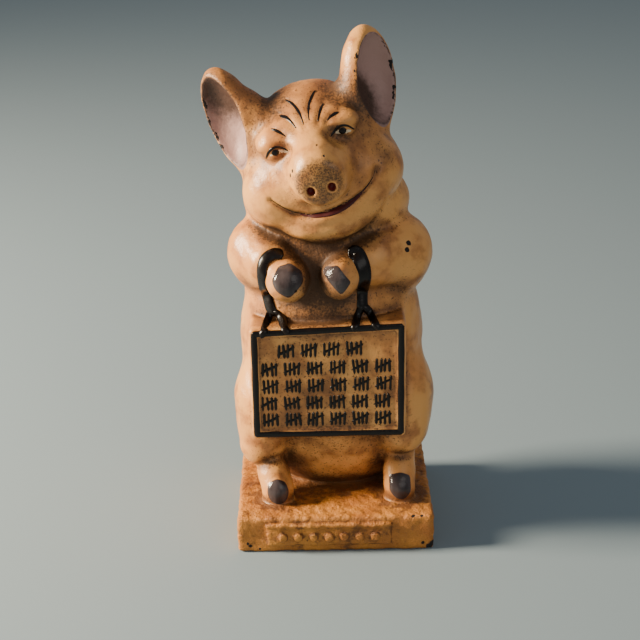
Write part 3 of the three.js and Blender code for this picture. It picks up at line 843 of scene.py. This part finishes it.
class Finish:
    """A material's node graph. Each call adds a node and gives back its output."""

    def __init__(self, name):
        self.material = bpy.data.materials.new(name)
        self.material.use_nodes = True
        self.tree = self.material.node_tree
        self.shader = self.tree.nodes["Principled BSDF"]
        self.place = self.add("ShaderNodeTexCoord", output="Object")

    def add(self, kind, inputs=None, output=0, **settings):
        node = self.tree.nodes.new(kind)
        for key, value in settings.items():
            setattr(node, key, value)
        for key, value in (inputs or {}).items():
            if isinstance(value, bpy.types.NodeSocket):
                self.tree.links.new(value, node.inputs[key])
            else:
                node.inputs[key].default_value = value
        return node.outputs[output]

    def attribute(self, name):
        return self.add("ShaderNodeAttribute", attribute_name=name, output="Fac")

    def math(self, operation, *values):
        return self.add("ShaderNodeMath", dict(enumerate(values)), operation=operation)

    def plus(self, a, b):
        return self.math("ADD", a, b)

    def times(self, a, b):
        return self.math("MULTIPLY", a, b)

    def sway(self, value, noise, amount):
        """`value`, moved up and down by the noise, over a range of `amount` in all."""
        return self.plus(value, self.times(self.math("SUBTRACT", noise, 0.5), amount))

    def noise(self, size, detail=3.0, roughness=0.55, stretch=(1, 1, 1)):
        """Noise from 0 to 1 whose patches are about `size` millimetres wide."""
        place = self.place
        if stretch != (1, 1, 1):
            place = self.add("ShaderNodeMapping", {"Vector": place, "Scale": stretch})
        values = {"Vector": place, "Scale": 1 / (size * MM), "Detail": detail, "Roughness": roughness}
        return self.add("ShaderNodeTexNoise", values)

    def wobble(self, size, amount):
        """A small random offset in every direction, of up to about `amount` millimetres."""
        values = {"Vector": self.place, "Scale": 1 / (size * MM), "Detail": 2.0}
        colour = self.add("ShaderNodeTexNoise", values, "Color")
        centred = self.add("ShaderNodeVectorMath", {0: colour, 1: (0.5, 0.5, 0.5)}, operation="SUBTRACT")
        return self.add("ShaderNodeVectorMath", {0: centred, "Scale": amount * MM}, operation="SCALE")

    def step(self, value, low, high):
        """0 below `low`, 1 above `high`, smooth between. The other way round if `low` is the larger."""
        turned = low > high
        values = {"Value": value, "From Min": min(low, high), "From Max": max(low, high)}
        values |= {"To Min": float(turned), "To Max": float(not turned)}
        return self.add("ShaderNodeMapRange", values, interpolation_type="SMOOTHSTEP")

    def mix(self, share, a, b):
        """Colour `a` where `share` is 0 and `b` where it is 1."""
        return self.add("ShaderNodeMix", {"Factor": share, "A": a, "B": b}, 2, data_type="RGBA")

    def blend(self, share, a, b):
        return self.add("ShaderNodeMix", {"Factor": share, "A": a, "B": b}, data_type="FLOAT")

    def set(self, **sockets):
        for key, value in sockets.items():
            socket = self.shader.inputs[key.replace("_", " ").title().replace("Ior", "IOR")]
            if isinstance(value, bpy.types.NodeSocket):
                self.tree.links.new(value, socket)
            else:
                socket.default_value = value
        return self

    def bump(self, height, distance):
        """`height` from 0 to 1, as relief of `distance` millimetres."""
        values = {"Height": height, "Distance": distance * MM, "Strength": 1.0}
        normal = self.add("ShaderNodeBump", values)
        self.tree.links.new(normal, self.shader.inputs["Normal"])
        return self


class Aged(Finish):
    """The castings' finish, with the noises, and the darker places of dirt and painted shade, that its layers
    share.
    """

    def __init__(self, name):
        super().__init__(name)
        self.broad, self.middle, self.fine = self.noise(26), self.noise(6.5, 4), self.noise(1.5, 4, 0.7)
        self.dots = self.noise(0.7, 2, 0.6)
        self.shelter = self.attribute("shelter")
        # Darker in hollows and at the listed places: dirt and painted shade together.
        self.darkening = self.plus(self.shelter, self.times(self.attribute("shade_and_dirt_spots"), 0.55))
        self.nostril = self.attribute("nostril")


def cream_enamel(f):
    """Cream enamel, tan and then dark brown in the hollows and at the listed places, as dirt and painted
    shade together, with specks of brown dirt.
    """
    cream = f.mix(f.step(f.broad, 0.35, 0.65), srgb(237, 170, 94), srgb(217, 144, 76))
    cream = f.mix(f.step(f.middle, 0.45, 0.72), cream, srgb(182, 117, 62))
    tan_dirt_and_shade = f.sway(f.sway(f.darkening, f.middle, 0.55), f.broad, 0.5)
    cream = f.mix(f.times(f.step(tan_dirt_and_shade, 0.1, 0.55), 0.8), cream, srgb(130, 84, 46))
    brown_dirt_and_shade = f.sway(f.sway(f.darkening, f.fine, 0.9), f.dots, 0.8)
    cream = f.mix(f.times(f.step(brown_dirt_and_shade, 0.38, 0.82), 0.88), cream, srgb(70, 45, 24))
    speckle = f.times(f.step(f.dots, 0.6, 0.68), f.step(f.plus(f.darkening, f.times(f.middle, 0.35)), 0.2, 0.5))
    return f.mix(f.times(speckle, 0.8), cream, srgb(58, 36, 18))


def with_snout(f, colour):
    """Adds the snout's speckled end and the dark red nostrils, each with a clean rim."""
    snout = f.sway(f.attribute("snout"), f.fine, 5.0)
    grit = f.step(f.noise(0.5, 4, 0.75), 0.42, 0.58)
    share = f.times(f.step(snout, 1.4, -0.8), f.plus(0.42, f.times(grit, 0.5)))
    share = f.times(share, f.step(f.nostril, 0.35, 0.9))
    colour = f.mix(share, colour, srgb(76, 54, 38))
    return f.mix(f.step(f.nostril, 0.15, -0.15), colour, srgb(112, 32, 26))


def ear_lining(f):
    """Mauve paint in the ears, brown deep in the cups and towards their roots, as dirt and painted shade
    together, with dark specks.
    """
    ear_dirt_and_shade = f.step(f.plus(f.darkening, f.times(f.fine, 0.25)), 0.28, 0.6)
    lining = f.mix(ear_dirt_and_shade, srgb(178, 140, 130), srgb(76, 52, 40))
    specks = f.times(f.step(f.dots, 0.58, 0.68), f.step(f.darkening, 0.25, 0.5))
    return f.mix(specks, lining, srgb(50, 32, 24))


def hoof_grey(f):
    streaks = f.noise(3.5, 2, 0.5, (1, 1, 0.3))
    return f.mix(f.step(streaks, 0.35, 0.65), srgb(52, 43, 43), srgb(76, 66, 66))


def ochre_paint(f):
    """The plinth's ochre, rubbed light in places, brown in its hollows as corrosion, dirt and painted shade
    together, with dark specks.
    """
    ochre = f.mix(f.step(f.noise(14, 3), 0.35, 0.65), srgb(208, 136, 54), srgb(174, 106, 42))
    ochre = f.mix(f.times(f.step(f.fine, 0.55, 0.75), 0.5), ochre, srgb(240, 168, 72))
    rust_and_shade = f.sway(f.shelter, f.noise(4, 5, 0.7), 1.9)
    ochre = f.mix(f.times(f.step(rust_and_shade, 0.05, 0.45), 0.8), ochre, srgb(96, 56, 26))
    return f.mix(f.times(f.step(f.dots, 0.6, 0.7), 0.35), ochre, srgb(96, 54, 22))


def chips(f):
    """1 where the paint is off, along the thin edges and in single places, and 0 elsewhere."""
    edge = f.sway(f.attribute("edge"), f.noise(4.2, 3, 0.6), 1.7)
    chipped = f.times(f.step(edge, 0.86, 0.9), f.step(f.nostril, 2.0, 3.0))
    nearby = f.add("ShaderNodeVectorMath", {0: f.place, 1: f.wobble(0.9, 0.7)}, operation="ADD")
    for place, radius in CHIPS:
        ends = {0: nearby, 1: [c * MM for c in place]}
        away = f.add("ShaderNodeVectorMath", ends, "Value", operation="DISTANCE")
        chipped = f.math("MAXIMUM", chipped, f.step(away, radius * 1.12 * MM, radius * 0.9 * MM))
    return chipped


def enamelled_iron():
    """The castings: aged cream enamel with painted shade in its hollows, painted ears and hooves, an ochre
    plinth, and bare iron inside.
    """
    f = Aged("enamelled_iron")
    lined = f.step(f.sway(f.attribute("lining"), f.middle, 0.5), 0.42, 0.22)
    hoofed = f.step(f.sway(f.attribute("hoof"), f.middle, 0.5), 0.1, -0.1)
    ochred = f.step(f.sway(f.attribute("off_pig"), f.fine, 1.1), 0.35, 0.75)
    chipped = chips(f)
    inside = f.step(f.attribute("depth"), 0.9, 1.3)

    colour = f.mix(lined, with_snout(f, cream_enamel(f)), ear_lining(f))
    colour = f.mix(hoofed, colour, hoof_grey(f))
    # Some of the plinth's ochre has run on to the feet and the belly.
    height = f.add("ShaderNodeSeparateXYZ", {0: f.place}, "Z")
    patches = f.step(f.plus(f.middle, f.times(f.broad, 0.5)), 0.5, 0.95)
    run = f.times(f.times(f.step(height, 22.5 * MM, 12.5 * MM), patches), 0.75)
    ochre = ochre_paint(f)
    colour = f.mix(f.times(run, f.math("SUBTRACT", 1.0, hoofed)), colour, ochre)
    colour = f.mix(ochred, colour, ochre)
    colour = f.mix(chipped, colour, srgb(27, 18, 14))
    colour = f.mix(inside, colour, f.mix(f.step(f.middle, 0.35, 0.7), srgb(62, 54, 48), srgb(84, 60, 42)))

    bare = f.math("MAXIMUM", chipped, inside)
    rough = f.blend(f.darkening, f.blend(f.fine, 0.22, 0.42), 0.6)
    rough = f.blend(lined, f.blend(hoofed, rough, 0.16), 0.5)
    rough = f.blend(ochred, rough, f.blend(f.noise(5, 5, 0.65), 0.4, 0.7))
    rough = f.blend(bare, rough, 0.75)
    brushed = f.plus(f.times(f.middle, 0.35), f.times(f.fine, f.plus(0.3, f.times(f.darkening, 0.5))))
    sandy = f.plus(f.times(f.noise(0.9, 4, 0.65), 1.3), f.times(f.noise(2.4, 3), 1.2))
    height_map = f.blend(f.math("MAXIMUM", ochred, inside), brushed, sandy)
    height_map = f.math("SUBTRACT", height_map, f.times(chipped, 0.3))
    return f.set(base_color=colour, roughness=rough, specular_ior_level=0.42).bump(height_map, 0.45).material


def thick_paint(name, dark, light, rough):
    """A hand-painted line: `dark` paint with thinner, lighter places."""
    f = Finish(name)
    thin = f.step(f.noise(3.0, 4, 0.6), 0.55, 0.85)
    streaks = f.noise(1.1, 3, 0.6)
    f.set(base_color=f.mix(thin, dark, light), roughness=f.blend(streaks, rough, rough + 0.2))
    return f.set(specular_ior_level=0.35).bump(streaks, 0.06).material


def worn_steel():
    """Old plain steel, dulled brown in patches."""
    f = Finish("worn_steel")
    patches, grit = f.noise(2.6, 4, 0.6), f.noise(0.6, 3, 0.6)
    steel = f.mix(f.step(grit, 0.35, 0.7), srgb(150, 144, 136), srgb(108, 102, 96))
    f.set(base_color=f.mix(f.step(patches, 0.5, 0.68), steel, srgb(92, 56, 34)), metallic=1.0)
    f.set(roughness=f.blend(f.step(patches, 0.45, 0.7), f.blend(grit, 0.3, 0.5), 0.75))
    return f.bump(grit, 0.08).material


# ---- The castings and what is painted on them ------------

MARGIN = 4  # how far the sculpt's grid reaches past the CAD boxes
EAR_DEPTH = 14  # how far the ears, which belong to the front casting, reach behind the parting plane
front_low, _ = (np.array(corner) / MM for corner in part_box("front_half"))
back_low, back_high = (np.array(corner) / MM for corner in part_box("back_half"))
bank_high = np.array(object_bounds()[1]) / MM
front_high = (bank_high[0] + MARGIN, PARTING + EAR_DEPTH, bank_high[2] + MARGIN)
front = casting("front_casting", front_field, front_low - MARGIN, front_high, -1)
back = casting("back_casting", back_field, back_low - MARGIN, back_high + MARGIN, 1)
enamel = enamelled_iron()
for obj, body, node in ((front, "front", "front_half"), (back, "back", "back_half")):
    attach(obj, body)
    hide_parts(node)
    obj.data.materials.append(enamel)

black = thick_paint("black_paint", srgb(13, 5, 2), srgb(28, 13, 7), 0.2)
maroon = thick_paint("maroon_paint", srgb(70, 16, 18), srgb(98, 34, 32), 0.4)
ivory = thick_paint("ivory_paint", srgb(238, 214, 176), srgb(222, 186, 140), 0.2)
painted("straps", black, STRAPS, 0.8, 0.5, body=3.0, even=1.2)
painted("slate_frame", black, slate_frame(), 0.4, 0.7)
painted("tally_marks", black, tallies(), 0.3, 0.6)
painted("brow_strokes", black, [from_head(tapered(line, 0.92)) for line in BROWS], 0.16, 0.3)
painted("eyelid_lines", black, [from_head(tapered(line, 0.95)) for line in LIDS], 0.2, 0.25)
painted("lip", maroon, [from_head(LIP)], 0.25, 0.3)
painted("mouth_line", black, [from_head(MOUTH_LINE)], 0.2, 0.3)
painted("eye_whites", ivory, [from_head(eye) for eye in EYE_WHITES], 0.05, 0.25)
painted("pupils", black, [from_head(spot(x, z, PUPIL_RADIUS)) for x, z in PUPILS], 0.3, 0.16)

# ---- The screw and the nut -------------------------------


def screw_field(p):
    """A slotted round-headed screw along Y, with its head at the back."""
    x, y, z = p[:, 0], p[:, 1], p[:, 2] - SCREW_Z
    out = np.hypot(x, z)
    turn = np.arctan2(z, x) / (2 * np.pi) + y / SCREW_PITCH
    ridge = np.abs(turn - np.floor(turn) - 0.5) * 2
    threaded = fade((SCREW_SEAT - SCREW_PLAIN - y) / 1.5)
    shank = out - SCREW_RADIUS + threaded * (THREAD_DEPTH * ridge - 0.05)
    shank = np.maximum(shank, np.maximum(SCREW_TIP - y, y - SCREW_SEAT - 1.5))
    shank = np.maximum(shank, (out - SCREW_RADIUS + 0.7 + SCREW_TIP - y) * 0.7)  # the bevel at its tip
    under = SCREW_SEAT + SEAM
    dome = (np.hypot(out / SCREW_HEAD, (y - under - SCREW_RIM) / SCREW_DOME) - 1) * SCREW_DOME
    head = np.maximum(np.where(y > under + SCREW_RIM, dome, out - SCREW_HEAD), under - y)
    head = np.maximum(head, -np.maximum(np.abs(z) - DRIVER_SLOT / 2, under + DRIVER_DEPTH - y))
    return np.minimum(shank, head)


def nut_field(p):
    """A square nut on the screw, its corners rounded towards the front."""
    y, out = p[:, 1], np.hypot(p[:, 0], p[:, 2] - SCREW_Z)
    low, high = (-NUT_HALF, NUT_FRONT, SCREW_Z - NUT_HALF), (NUT_HALF, NUT_BACK, SCREW_Z + NUT_HALF)
    nut = brick(p, low, high, 0.35)
    nut = np.maximum(nut, (out - NUT_HALF - 0.9 - (y - NUT_FRONT)) * 0.7)
    return np.maximum(nut, SCREW_RADIUS + 0.15 - out)


steel = worn_steel()
for name, field, body, node in (
    ("screw", screw_field, "screw", "assembly_screw"),
    ("nut", nut_field, "front", "square_nut"),
):
    low, high = (np.array(corner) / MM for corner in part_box(node))
    points, quads = polygonise(field, low - 1, high + 1, 0.3)
    for _ in range(2):
        points = points - slopes(field, points, 0.05) * np.clip(field(points), -0.1, 0.1)[:, None]
    obj = mesh_object(name, points, facing_out(points, quads))
    obj.data.set_sharp_from_angle(angle=math.radians(40))
    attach(obj, body)
    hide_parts(node)
    obj.data.materials.append(steel)

# ---- Stage, in metres ------------------------------------

FLOOR_REACH, FLOOR_COLOUR = 8 / MM, (0.24, 0.31, 0.35, 1)
SKY_COLOUR, SKY_STRENGTH = (0.8, 0.87, 0.93, 1), 0.28
CAMERA_AT, CAMERA_LENS = (-0.004, -0.4357, 0.2416), 78.75
CAMERA_DOWN, CAMERA_ROLL = 21.4, -1.0  # degrees

corners = [(x * FLOOR_REACH, y * FLOOR_REACH, 0) for x, y in ((-1, -1), (1, -1), (1, 1), (-1, 1))]
floor = mesh_object("floor", corners, [(0, 1, 2, 3)])
floor.data.materials.append(Finish("ground").set(base_color=FLOOR_COLOUR, roughness=0.9).material)


def area_light(name, at, target, size, power, colour):
    """A round soft light at `at`, aimed at `target`."""
    data = bpy.data.lights.new(name, "AREA")
    data.shape = "DISK"
    data.size = size
    data.energy = power
    data.color = colour
    light = placed(name, data)
    light.location = at
    light.rotation_euler = (Vector(target) - Vector(at)).to_track_quat("-Z", "Y").to_euler()


area_light("key", (-0.85, -0.05, 0.42), (0, -0.12, 0.04), 0.26, 33, (1.0, 0.84, 0.63))
area_light("fill", (0.6, -1.0, 0.7), (0, 0, 0.08), 0.9, 2.6, (1.0, 0.93, 0.86))
world = bpy.data.worlds.new("studio")
world.use_nodes = True
sky = world.node_tree.nodes["Background"].inputs
sky["Color"].default_value = SKY_COLOUR
sky["Strength"].default_value = SKY_STRENGTH
bpy.context.scene.world = world

camera_data = bpy.data.cameras.new("camera")
camera_data.lens = CAMERA_LENS
camera_data.sensor_width = 36
camera_data.clip_start = 0.01
camera = placed("camera", camera_data)
pitch = Matrix.Rotation(math.radians(90 - CAMERA_DOWN), 4, "X")
roll = Matrix.Rotation(math.radians(CAMERA_ROLL), 4, "Z")
camera.matrix_world = Matrix.Translation(CAMERA_AT) @ pitch @ roll
bpy.context.scene.camera = camera
